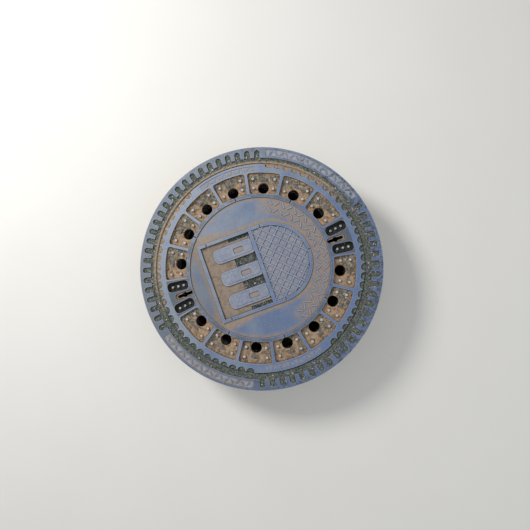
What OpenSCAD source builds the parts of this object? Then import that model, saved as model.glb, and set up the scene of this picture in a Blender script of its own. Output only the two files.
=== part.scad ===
// Round vented manhole cover in its road frame, with the dirt pan that hangs under the vents.
// Origin: centre of the frame's bed face. +Z is up, and +X runs through the first lifting slot.

/* [Frame] */
// Outer diameter of the frame
frame_d = 785; // [780:1:800]
// Height of the frame, from the bed face to the road surface
frame_h = 160; // [155:1:180]
// Clear opening below the cover's seat
clear_d = 610; // [600:1:612]
// Depth of the seat below the road surface
seat_depth = 50; // [46:1:54]

/* [Cover] */
// Outer diameter of the cover
cover_d = 672; // [670:0.5:674]
// Depth of the tread pattern round the rim
tread_depth = 6; // [3:0.5:8]
// Depth of the vent pockets
pocket_depth = 9; // [8:0.5:10]
// Thickness of the iron under the vent pockets
plate_t = 14; // [12:1:18]
// Depth of the ribs under the plate
rib_depth = 50; // [30:1:52]

/* [Vents and lifting slots] */
// Diameter of each vent hole
vent_d = 36; // [30:1:38]
// Diameter of the circle that the vent holes and slots lie on
vent_circle_d = 516; // [512:1:518]
// Length of each lifting slot
slot_l = 52; // [48:1:54]
// Width of each lifting slot
slot_w = 10.5; // [9:0.5:12]
// Diameter of the round middle of each lifting slot
slot_eye_d = 17.5; // [14:0.5:19]

/* [Dirt pan] */
// Diameter of the pan's wall
pan_d = 560; // [540:1:562]
// Height of the pan's base above the bed face
pan_bottom = 6; // [5:1:20]
// Thickness of the pan's sheet steel
sheet_t = 2; // [2:0.5:3]

/* [Hidden] */
$fn = 96;
eps = 1;                                // How far a cutter runs past the face that it cuts

top_z = frame_h;
low_z = top_z - tread_depth;            // Floor of the notches and scallops
step_z = low_z - 1;                     // Floor of the ring-shaped steps beside them
seat_z = top_z - seat_depth;

// Frame head ring, from the outside in
frame_r = frame_d / 2;
notch_end_r = frame_r - 9.2;            // Round outer ends of the notches
tooth_end_r = frame_r - 35;             // Inner ends of the teeth
lip_r = frame_r - 52.5;                 // Inner face of the ring
lip_w = 4;
lip_z = top_z - 4;
wall_w = 9;                             // Wall behind the lip
pitch_a = 5;                            // Angle from one tooth or scallop to the next
notch_w = 18.5;
panel_a = 41.5;                         // Angle to the middle of the first smooth panel
panel_span = 55;                        // 11 notches are left out at each panel
panel_end_a = 2;                        // Plain iron left at each end of a panel
panel_in_r = tooth_end_r + 6;
panel_out_r = notch_end_r + 2;
panel_depth = 1.8;
deck_t = 10;                            // Top plate of the head ring
skirt_w = 8;
skirt_z = top_z - 36;
ledge_t = 14;
ledge_z = seat_z - 2;                   // The damping ring stands 2 mm out of the ledge
groove_in_r = cover_d / 2 - 20;
groove_out_r = cover_d / 2 + 2.5;
groove_depth = 4;
clear_r = clear_d / 2;
bed_chamfer = 5;
bed_round = 8;                          // Chamfer at the foot of the concrete's outer face
gusset_count = 12;
gusset_w = 10;
gusset_h = 16;

// Lugs under the ledge, which carry the dirt pan
lug_count = 4;
lug_w = 42;
lug_z = 60;
lug_t = 8;
lug_inner_r = clear_r - 20;
lug_tongue_r = clear_r - 5.5;
body_inner_r = clear_r + 7.5;           // Bore of the concrete, as wide as the shaft below

// Reinforcement in the concrete
hoop_r = frame_r - 38;
hoop_d = 8;
lower_hoop_z = 30;
upper_hoop_z = 112;
tie_d = 6;
tie_gap = 0.2;
tie_end = 10;                           // How far the bars run past the hoops
tie_count = 12;

// Cover, from the outside in
cover_r = cover_d / 2;
rim_r = cover_r - 2;                    // Tips between the scallops
scallop_r = 13;
scallop_circle_r = cover_r - 1;
pad_span = 46.6;                        // 9 scallops are left out at each smooth pad
pad_in_r = cover_r - 23;
pad_out_r = cover_r - 6;
pad_depth = 1.4;
pad_sunk_span = 34;
skirt_inner_r = cover_r - 14;
pocket_out_r = cover_r - 27.5;
pocket_in_r = cover_r - 97.4;
disc_r = cover_r - 108;
disc_z = top_z - 3.5;
pocket_z = top_z - pocket_depth;
side_pocket_z = top_z - 14;
plate_z = pocket_z - plate_t;
station_count = 16;                     // Fourteen vent pockets and two lifting-key stations
station_a = 360 / station_count;
rib_top_w = 8.5;                        // Flat ribs between the pockets
pocket_corner_r = 8;
vent_r = vent_circle_d / 2;
vent_stud_a = 7.1;                      // Angle of the studs beside each vent's middle line
vent_stud_h = 6;
stud_h = 7;                             // Studs in the pockets beside the lifting slots
recess_depth = 3;                       // Shallow recess round each lifting slot
side_pocket_a = 7;
side_pocket_r = (pocket_in_r + pocket_out_r) / 2;
key_boss_h = 10;                        // Extra iron under each lifting slot
rib_line = 70;                          // Distance of the ribs from the centre
rib_t = 14;
rib_half_l = 286;                       // The ribs stop short of the frame's ledge

// Tread bars of the disc
disc_tread_a = -3;
disc_tread_h = 2;

// Shield relief on the centre disc
shield_x0 = -172;
shield_x1 = 42;                         // Centre of the round end
shield_half = 131;
border_w = 9.5;
field_z = top_z - 7;
gap_z = top_z - 11;
relief_z = top_z - 2;
bar_x = 9;                              // Middle of the cross bar between the two fields
bar_w = 11;
panelled_bar_x = -60;
panelled_bar_y = 77;                    // From the middle bar to the ones beside it
border_cut = 4;                         // Width of the cuts through the shield's border
net_z = top_z - 4.8;                    // Floor of the lattice field
net_top_z = top_z - 2.6;
lattice_x = 95;
lattice_pitch = 23;
lattice_w = 4.5;

// Dirt pan
pan_r = pan_d / 2;
pan_slot_count = 24;
pan_slot_z = 46;
pan_slot_l = 36;
pan_slot_h = 9;
flange_r = clear_r - 8;
flange_z = lug_z + lug_t + 0.3;         // Just clear of the lugs that it rests on
rim_t = 4;
rim_z = flange_z + sheet_t;
strap_z = rim_z + rim_t;
strap_w = 36;
strap_t = 4;
rivet_d = 8;
rivet_head_d = 13;
rivet_head_h = 2.5;
rivet_r = pan_r + 9.5;
rim_rivet_count = 12;
strap_rivet_x = 9;

function polar(r, a) = [r * cos(a), r * sin(a)];
function arc(r, a0, a1, steps, centre = [0, 0]) =
    [for (i = [0:steps]) centre + polar(r, a0 + (a1 - a0) * i / steps)];
function mirrored(points) = [for (i = [len(points) - 1:-1:0]) [points[i][0], -points[i][1]]];
function angle_of(p) = atan2(p[1], p[0]);

// Centre of a corner at radius r that is a distance d inside the rib line at angle a
function corner_centre(r, d, a) = [sqrt(r * r - d * d) * cos(a) + d * sin(a),
                                   sqrt(r * r - d * d) * sin(a) - d * cos(a)];

// Upper half of a pocket between two rib lines at angles a and -a, from its outer arc to its inner one
function half_pocket(r_in, r_out, a, rib, rc) =
    let (outer = corner_centre(r_out - rc, rib / 2 + rc, a),
         inner = corner_centre(r_in + rc, rib / 2 + rc, a))
    concat(arc(r_out, 0, angle_of(outer), 3),
           arc(rc, angle_of(outer), a + 90, 5, outer),
           arc(rc, a + 90, angle_of(inner) + 180, 5, inner),
           arc(r_in, angle_of(inner), 0, 3));

// Outline of a box with rounded corners, centred on the origin
function rounded_box(l, w, r) =
    concat(arc(r, 0, 90, 5, [l / 2 - r, w / 2 - r]), arc(r, 90, 180, 5, [r - l / 2, w / 2 - r]),
           arc(r, 180, 270, 5, [r - l / 2, r - w / 2]), arc(r, 270, 360, 5, [l / 2 - r, r - w / 2]));

// Part of a flat ring, from angle a0 over span
module ring_sector(r_in, r_out, z0, z1, a0, span)
    rotate([0, 0, a0])
        rotate_extrude(angle = span)
            translate([r_in, z0])
                square([r_out - r_in, z1 - z0]);

module ring(r_in, r_out, z0, z1)
    rotate_extrude()
        translate([r_in, z0])
            square([r_out - r_in, z1 - z0]);

// An outline raised from z0 to z1
module slab(points, z0, z1)
    translate([0, 0, z0])
        linear_extrude(z1 - z0)
            polygon(points);

module bar(l, w, z0, z1)
    translate([-l / 2, -w / 2, z0])
        cube([l, w, z1 - z0]);

// A row of plain tread bars along an arc, leaning left and right in turn
module tread_row(r, middle_a, count, step_a, bar_size, z0, z1)
    for (i = [0:count - 1])
        rotate([0, 0, middle_a + (i - (count - 1) / 2) * step_a])
            translate([r, 0, 0])
                rotate([0, 0, i % 2 == 0 ? 40 : -40])
                    bar(bar_size[0], bar_size[1], z0, z1);

function near(a, middle, half) = abs((a - middle + 540) % 360 - 180) < half;

// Middle angles of the frame's notches: every pitch, except at the two panels
function notch_angles() =
    [for (i = [0:360 / pitch_a - 1])
        let (a = panel_a + pitch_a * i)
        if (!near(a, panel_a, panel_span / 2) && !near(a, panel_a + 180, panel_span / 2)) a];

// Middle angles of the cover's scallops: every pitch, except at the two pads
function scallop_angles() =
    [for (i = [0:360 / pitch_a - 1])
        let (a = 90 + pitch_a * i)
        if (!near(a, 90, pad_span / 2) && !near(a, 270, pad_span / 2)) a];

// Section of the head ring, as a turned profile
module head_section()
    polygon([[clear_r, ledge_z - ledge_t], [lip_r + wall_w, ledge_z - ledge_t],
             [lip_r + wall_w, low_z - deck_t], [frame_r - skirt_w, low_z - deck_t],
             [frame_r - skirt_w, skirt_z], [frame_r, skirt_z], [frame_r, top_z],
             [tooth_end_r, top_z], [tooth_end_r, step_z], [lip_r + lip_w, step_z],
             [lip_r + lip_w, lip_z], [lip_r, lip_z], [lip_r, ledge_z], [clear_r, ledge_z]]);

module gussets()
    for (i = [0:gusset_count - 1])
        rotate([0, 0, (i + 0.5) * 360 / gusset_count])
            translate([lip_r + wall_w - eps, -gusset_w / 2, low_z - deck_t - gusset_h])
                cube([frame_r - skirt_w - lip_r - wall_w + 2 * eps, gusset_w, gusset_h + eps]);

module pan_lugs()
    for (i = [0:lug_count - 1])
        rotate([0, 0, 45 + i * 360 / lug_count])
            intersection() {
                translate([0, -lug_w / 2, lug_z])
                    cube([frame_r, lug_w, ledge_z - ledge_t - lug_z + eps]);
                union() {
                    ring(lug_inner_r, body_inner_r, lug_z, lug_z + lug_t);
                    ring(lug_tongue_r, body_inner_r, lug_z, ledge_z - ledge_t + eps);
                }
            }

module notch()
    translate([0, 0, low_z])
        linear_extrude(tread_depth + eps)
            union() {
                translate([tooth_end_r - eps, -notch_w / 2])
                    square([notch_end_r - notch_w / 2 - tooth_end_r + eps, notch_w]);
                translate([notch_end_r - notch_w / 2, 0])
                    circle(d = notch_w);
            }

module frame_head()
    color("#6f7585")
        union() {
            difference() {
                rotate_extrude()
                    head_section();
                for (a = notch_angles())
                    rotate([0, 0, a])
                        notch();
                for (a = [panel_a, panel_a + 180])
                    ring_sector(panel_in_r, panel_out_r, top_z - panel_depth, top_z + eps,
                                a - panel_span / 2 + panel_end_a, panel_span - 2 * panel_end_a);
                ring(groove_in_r, groove_out_r, ledge_z - groove_depth, ledge_z + eps);
            }
            for (a = [panel_a, panel_a + 180])
                tread_row((panel_in_r + panel_out_r) / 2, a, 18, 2.7, [15, 3.6],
                          top_z - panel_depth - eps, top_z - 0.4);
            gussets();
            pan_lugs();
        }

// Concrete ring, cast round the underside of the head ring and round its reinforcement
module frame_body()
    color("#9a968c")
        difference() {
            rotate_extrude()
                polygon([[body_inner_r, bed_chamfer], [body_inner_r + bed_chamfer, 0],
                         [frame_r - bed_round, 0], [frame_r, bed_round],
                         [frame_r, skirt_z], [frame_r - skirt_w, skirt_z],
                         [frame_r - skirt_w, low_z - deck_t], [lip_r + wall_w, low_z - deck_t],
                         [lip_r + wall_w, ledge_z - ledge_t], [body_inner_r, ledge_z - ledge_t]]);
            gussets();
            hoop(lower_hoop_z);
            hoop(upper_hoop_z);
            tie_bars();
        }

module hoop(z)
    translate([0, 0, z])
        rotate_extrude()
            translate([hoop_r, 0])
                circle(d = hoop_d);

module upper_hoop()
    color("#7a5a44")
        hoop(upper_hoop_z);

module lower_hoop()
    color("#7a5a44")
        hoop(lower_hoop_z);

// Upright bars, standing just outside the hoops
module tie_bars()
    for (i = [0:tie_count - 1])
        rotate([0, 0, i * 360 / tie_count])
            translate([hoop_r + (hoop_d + tie_d) / 2 + tie_gap, 0, lower_hoop_z - tie_end])
                cylinder(d = tie_d, h = upper_hoop_z - lower_hoop_z + 2 * tie_end);

module hoop_ties()
    color("#7a5a44")
        tie_bars();

module damping_ring()
    color("#1d1e20")
        rotate_extrude()
            polygon([[groove_in_r, ledge_z - groove_depth], [groove_out_r, ledge_z - groove_depth],
                     [groove_out_r, ledge_z - 0.5], [groove_out_r - 2, seat_z], [groove_in_r + 2, seat_z],
                     [groove_in_r, ledge_z - 0.5]]);

// Cutter for one vent pocket and its hole
module vent_station() {
    outline = half_pocket(pocket_in_r, pocket_out_r, station_a / 2, rib_top_w, pocket_corner_r);
    slab(concat(mirrored(outline), outline), pocket_z, top_z + eps);
    translate([vent_r, 0, plate_z - eps])
        cylinder(d = vent_d, h = plate_t + 2 * eps);
}

// Four studs and one cross bar on the floor of a vent pocket
module vent_studs() {
    for (side = [-1, 1], r = [vent_r + 1, vent_r + 32])
        rotate([0, 0, side * vent_stud_a])
            translate([r, 0, pocket_z - eps])
                cylinder(d1 = 11, d2 = 8.5, h = vent_stud_h + eps);
    translate([vent_r + 28, 0, 0])
        bar(5, 18, pocket_z - eps, pocket_z + 5);
}

// Cutter for one lifting-key station: shallow recess, through slot with its eye, and two deep side pockets
module key_station() {
    translate([vent_r + 2, 0, 0])
        slab(rounded_box(62, 22, 10.9), top_z - recess_depth, top_z + eps);
    translate([vent_r, 0, 0]) {
        slab(rounded_box(slot_l, slot_w, slot_w / 2 - 0.05), plate_z - key_boss_h - eps, top_z + eps);
        translate([0, 0, plate_z - key_boss_h - eps])
            cylinder(d = slot_eye_d, h = pocket_depth + plate_t + key_boss_h + 2 * eps);
    }
    for (side = [-1, 1])
        rotate([0, 0, side * side_pocket_a])
            translate([side_pocket_r, 0, 0])
                slab(rounded_box(70, 32, 13.5), side_pocket_z, top_z + eps);
}

// Iron under a lifting slot, which the head of the lifting key turns against
module key_boss()
    translate([vent_r, 0, 0])
        slab(rounded_box(slot_l + 30, slot_w + 36, 14), plate_z - key_boss_h, plate_z + eps);

module side_pocket_studs()
    for (side = [-1, 1], step = [-18, 0, 18])
        rotate([0, 0, side * side_pocket_a])
            translate([side_pocket_r + step, 0, side_pocket_z - eps])
                cylinder(d1 = 10, d2 = 7.5, h = stud_h + eps);

// Outline of the shield, inset by a distance: a flat end and straight sides that run into a half circle
function shield_outline(inset) =
    concat([[shield_x0 + inset, shield_half - inset], [shield_x0 + inset, inset - shield_half]],
           arc(shield_half - inset, -90, 90, 28, [shield_x1, 0]));

// A plain shield: border, cross bar, three panelled bars in one field and a lattice in the other
module shield() {
    difference() {
        slab(shield_outline(0), disc_z - eps, top_z);
        slab(shield_outline(border_w), disc_z - 2 * eps, top_z + eps);
        for (x = [-140, 45])
            translate([x, 0, 0])
                bar(border_cut, 2 * shield_half + 2, disc_z, top_z + eps);
        translate([shield_half + shield_x1, 0, 0])
            bar(30, border_cut, disc_z, top_z + eps);
    }
    translate([bar_x, 0, 0])
        bar(bar_w, 2 * (shield_half - border_w) + 1, gap_z - eps, top_z - 0.3);
    for (i = [-1:1])
        translate([panelled_bar_x, i * panelled_bar_y, 0])
            panelled_bar();
    intersection() {
        slab(shield_outline(border_w - 0.5), net_z - eps, net_top_z);
        translate([bar_x, -shield_half, net_z - 2 * eps])
            cube([shield_half + shield_x1, 2 * shield_half, top_z]);
        for (a = [-45, 45], i = [-8:8])
            translate([lattice_x, 0, 0])
                rotate([0, 0, a])
                    translate([0, lattice_pitch * i, 0])
                        bar(300, lattice_w, net_z - eps, net_top_z + eps);
    }
}

// Round-ended bar with a raised middle, which has a sunk panel
module panelled_bar()
    difference() {
        union() {
            slab(rounded_box(140, 48, 18), gap_z - eps, relief_z - 1.2);
            slab(rounded_box(122, 34, 12), gap_z - eps, relief_z);
        }
        translate([14, 0, 0])
            slab(rounded_box(34, 18, 4), relief_z - 2.4, relief_z + eps);
    }

// Sunk floors of the shield: one field, the other, and the deep strips beside the bars
module shield_floor() {
    difference() {
        slab(shield_outline(border_w), field_z, top_z + eps);
        translate([bar_x, -shield_half, field_z - eps])
            cube([2 * shield_half, 2 * shield_half, net_z - field_z + eps]);
    }
    for (side = [-1, 1]) {
        translate([-33, side * panelled_bar_y / 2, 0])
            bar(72, 27, gap_z, top_z);
        translate([-33, side * 116, 0])
            bar(72, 14, gap_z, top_z);
    }
}

// Two straight ribs each way under the plate, which pass between the vent holes
module cover_ribs()
    for (turn = [0, 90], side = [-1, 1])
        rotate([0, 0, turn])
            translate([-rib_half_l, side * rib_line - rib_t / 2, plate_z - rib_depth])
                cube([2 * rib_half_l, rib_t, rib_depth + eps]);

module cover()
    color("#76809a")
        union() {
            difference() {
                union() {
                    ring(skirt_inner_r, cover_r, seat_z, top_z);
                    translate([0, 0, plate_z])
                        cylinder(r = skirt_inner_r + eps, h = top_z - plate_z);
                    for (a = [0, 180])
                        rotate([0, 0, a])
                            key_boss();
                    cover_ribs();
                }
                for (a = scallop_angles())
                    rotate([0, 0, a])
                        translate([scallop_circle_r, 0, low_z])
                            cylinder(r = scallop_r, h = tread_depth + eps);
                for (a = [90, 270])
                    ring_sector(rim_r, cover_r + eps, step_z, top_z + eps, a + pad_span / 2, 180 - pad_span);
                for (i = [1:station_count - 1])
                    if (i != station_count / 2)
                        rotate([0, 0, i * station_a])
                            vent_station();
                for (a = [0, 180])
                    rotate([0, 0, a])
                        key_station();
                translate([0, 0, disc_z])
                    cylinder(r = disc_r, h = top_z - disc_z + eps);
                shield_floor();
                for (a = [45:45:315])
                    if (a != 180)
                        rotate([0, 0, a])
                            translate([(disc_r + pocket_in_r) / 2, 0, 0])
                                bar(16, 4, disc_z, top_z + eps);
                for (a = [90, 270])
                    ring_sector(pad_in_r, pad_out_r, top_z - pad_depth, top_z + eps,
                                a - pad_sunk_span / 2, pad_sunk_span);
            }
            for (i = [1:station_count - 1])
                if (i != station_count / 2)
                    rotate([0, 0, i * station_a])
                        vent_studs();
            for (a = [0, 180])
                rotate([0, 0, a])
                    side_pocket_studs();
            shield();
            for (r = [disc_r - 38, disc_r - 15])
                tread_row(r, disc_tread_a, 23, 5.8, [19, 4.2], disc_z - eps, disc_z + disc_tread_h);
            for (a = [90, 270])
                tread_row((pad_in_r + pad_out_r) / 2, a, 13, 2.5, [11, 3],
                          top_z - pad_depth - eps, top_z - 0.2);
        }

module pan_wall()
    color("#8d9194")
        difference() {
            rotate_extrude()
                polygon([[pan_r - sheet_t, pan_bottom], [pan_r, pan_bottom], [pan_r, flange_z],
                         [flange_r, flange_z], [flange_r, rim_z], [pan_r - sheet_t, rim_z]]);
            for (i = [0:pan_slot_count - 1])
                rotate([0, 0, (i + 0.5) * 360 / pan_slot_count])
                    translate([pan_r - 10, -pan_slot_l / 2, pan_slot_z])
                        cube([20, pan_slot_l, pan_slot_h]);
            rim_rivet_places()
                cylinder(d = rivet_d, h = 20, center = true);
            strap_rivet_places()
                cylinder(d = rivet_d, h = 20, center = true);
        }

// Base disc inside the wall, with two circles of drain holes
module pan_base()
    color("#8d9194")
        difference() {
            translate([0, 0, pan_bottom])
                cylinder(r = pan_r - sheet_t, h = sheet_t);
            drain_circle(90, 6);
            drain_circle(180, 12);
        }

module drain_circle(r, count)
    for (i = [0:count - 1])
        rotate([0, 0, (i + 0.5) * 360 / count])
            translate([r, 0, pan_bottom - eps])
                cylinder(d = 10, h = sheet_t + 2 * eps);

module pan_rim()
    color("#7f8488")
        difference() {
            ring(pan_r + 1, flange_r, rim_z, strap_z);
            rim_rivet_places()
                cylinder(d = rivet_d, h = 20, center = true);
            strap_rivet_places()
                cylinder(d = rivet_d, h = 20, center = true);
        }

// Places of the rim's rivets, at the level of the flange. None is at a lug or under the strap
module rim_rivet_places()
    for (i = [0:rim_rivet_count - 1])
        if (i % (rim_rivet_count / 2) != rim_rivet_count / 4)
            rotate([0, 0, i * 360 / rim_rivet_count])
                translate([rivet_r, 0, rim_z])
                    children();

// Two rivets at each end of the strap
module strap_rivet_places()
    for (end = [-1, 1], side = [-1, 1])
        translate([side * strap_rivet_x, end * rivet_r, rim_z])
            children();

// A rivet that closes from its lower to its upper head through a stack of sheets
module rivet(grip)
    translate([0, 0, -sheet_t]) {
        cylinder(d = rivet_d, h = grip);
        translate([0, 0, grip])
            cylinder(d1 = rivet_head_d, d2 = rivet_d, h = rivet_head_h);
        translate([0, 0, -rivet_head_h])
            cylinder(d1 = rivet_d, d2 = rivet_head_d, h = rivet_head_h);
    }

module rim_rivets()
    color("#b9bcbe")
        rim_rivet_places()
            rivet(sheet_t + rim_t);

// Flat bar across the pan, lying on the rim, for a hook or a hand
module lifting_strap()
    color("#a3a7aa")
        difference() {
            bar(strap_w, 2 * flange_r - 6, strap_z, strap_z + strap_t);
            strap_rivet_places()
                cylinder(d = rivet_d, h = 30, center = true);
        }

module strap_rivets()
    color("#b9bcbe")
        strap_rivet_places()
            rivet(sheet_t + rim_t + strap_t);

frame_head();
frame_body();
upper_hoop();
lower_hoop();
hoop_ties();
damping_ring();
cover();
pan_wall();
pan_base();
pan_rim();
rim_rivets();
lifting_strap();
strap_rivets();
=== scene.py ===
"""Looks of a round vented manhole cover in its road frame: worn and rusty cast iron, packed road grit,
cast concrete, elastomer and galvanised steel. Lengths are in metres, except that materials work in
millimetres. Angles are in degrees from +X, which points at the first lifting slot."""
import math

import bmesh
import bpy
import numpy as np
from mathutils import Matrix, Vector, noise


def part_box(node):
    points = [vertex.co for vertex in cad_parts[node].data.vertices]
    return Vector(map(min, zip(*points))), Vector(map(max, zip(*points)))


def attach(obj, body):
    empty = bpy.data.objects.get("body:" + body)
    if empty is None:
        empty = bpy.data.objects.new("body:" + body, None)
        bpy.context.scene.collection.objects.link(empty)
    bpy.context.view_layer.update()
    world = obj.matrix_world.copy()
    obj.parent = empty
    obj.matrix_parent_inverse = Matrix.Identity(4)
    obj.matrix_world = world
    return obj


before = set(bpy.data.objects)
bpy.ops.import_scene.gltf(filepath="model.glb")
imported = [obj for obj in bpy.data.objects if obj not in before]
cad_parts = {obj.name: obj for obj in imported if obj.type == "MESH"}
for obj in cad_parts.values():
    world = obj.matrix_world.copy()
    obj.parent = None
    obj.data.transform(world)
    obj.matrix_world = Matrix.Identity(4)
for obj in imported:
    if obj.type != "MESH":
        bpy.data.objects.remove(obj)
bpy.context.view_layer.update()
MM = 0.001

# Heights and radii that the looks depend on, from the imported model
ROAD_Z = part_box("cover")[1].z
COVER_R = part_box("cover")[1].x
FRAME_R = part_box("frame_body")[1].x
PAN_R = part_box("pan_base")[1].x
PAN_FLOOR_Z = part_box("pan_base")[1].z

# Layout of the castings, as in the model
PITCH = 5.0                     # Angle from one notch or scallop to the next
PANEL_ANGLE = 41.5              # Middle of one panel of the frame; the other lies opposite
PANEL_HALF = 27.5
PAD_ANGLE = 90.0                # Middle of one smooth pad on the cover's rim; the other lies opposite
PAD_HALF = 23.3
STATIONS = 16                   # Fourteen vent pockets and two lifting slots
STATION = 360 / STATIONS
POCKET_IN_R = COVER_R - 97.4 * MM
POCKET_OUT_R = COVER_R - 27.5 * MM

# ---------------------------------------------------------------- camera, light and floor

CAMERA_DISTANCE = 1.445
CAMERA_TILT = 5.0
CAMERA_AZIMUTH = -59.6          # Side of the part that the camera leans towards
IMAGE_RIGHT = -20.2             # Direction of the image's right-hand side on the road
CAMERA_LENS = 30.53
CAMERA_TARGET = Vector((0.0187, 0.0003, ROAD_Z))


def direction(azimuth, elevation):
    """Unit vector at an azimuth from +X and an elevation above the road."""
    a, e = math.radians(azimuth), math.radians(elevation)
    return Vector((math.cos(e) * math.cos(a), math.cos(e) * math.sin(a), math.sin(e)))


def add_camera():
    towards = direction(CAMERA_AZIMUTH, 90 - CAMERA_TILT)
    right = direction(IMAGE_RIGHT, 0)
    right = (right - towards * right.dot(towards)).normalized()
    up = towards.cross(right)
    data = bpy.data.cameras.new("camera")
    data.lens = CAMERA_LENS
    camera = bpy.data.objects.new("camera", data)
    place = CAMERA_TARGET + towards * CAMERA_DISTANCE
    camera.matrix_world = Matrix.Translation(place) @ Matrix((right, up, towards)).transposed().to_4x4()
    bpy.context.scene.collection.objects.link(camera)
    bpy.context.scene.camera = camera


def add_area_light(name, azimuth, elevation, distance, size, power, colour):
    data = bpy.data.lights.new(name, "AREA")
    data.shape = "DISK"
    data.size = size
    data.energy = power
    data.color = colour
    lamp = bpy.data.objects.new(name, data)
    lamp.location = direction(azimuth, elevation) * distance
    lamp.rotation_euler = direction(azimuth, elevation).to_track_quat("Z", "Y").to_euler()
    bpy.context.scene.collection.objects.link(lamp)


def add_studio():
    world = bpy.data.worlds.new("studio")
    world.use_nodes = True
    sky = world.node_tree.nodes["Background"].inputs
    sky["Color"].default_value = (0.95, 0.975, 1.0, 1)
    sky["Strength"].default_value = 0.46
    bpy.context.scene.world = world
    bpy.context.scene.view_settings.view_transform = "Standard"
    add_area_light("key", azimuth=122, elevation=42, distance=3.0, size=0.9, power=62,
                   colour=(1.0, 0.985, 0.96))
    add_area_light("fill", azimuth=-50, elevation=55, distance=3.2, size=2.4, power=12,
                   colour=(0.94, 0.97, 1.0))
    mesh = bpy.data.meshes.new("floor")
    reach = 6.0
    corners = [(-reach, -reach, 0), (reach, -reach, 0), (reach, reach, 0), (-reach, reach, 0)]
    mesh.from_pydata(corners, [], [(0, 1, 2, 3)])
    floor = bpy.data.objects.new("floor", mesh)
    bpy.context.scene.collection.objects.link(floor)
    floor.data.materials.append(floor_material())


# ---------------------------------------------------------------- material building blocks

def srgb(r, g, b):
    """Linear colour from display values of 0 to 255."""
    def linear(c):
        c = c / 255
        return c / 12.92 if c <= 0.04045 else ((c + 0.055) / 1.055) ** 2.4
    return (linear(r), linear(g), linear(b), 1)


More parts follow.
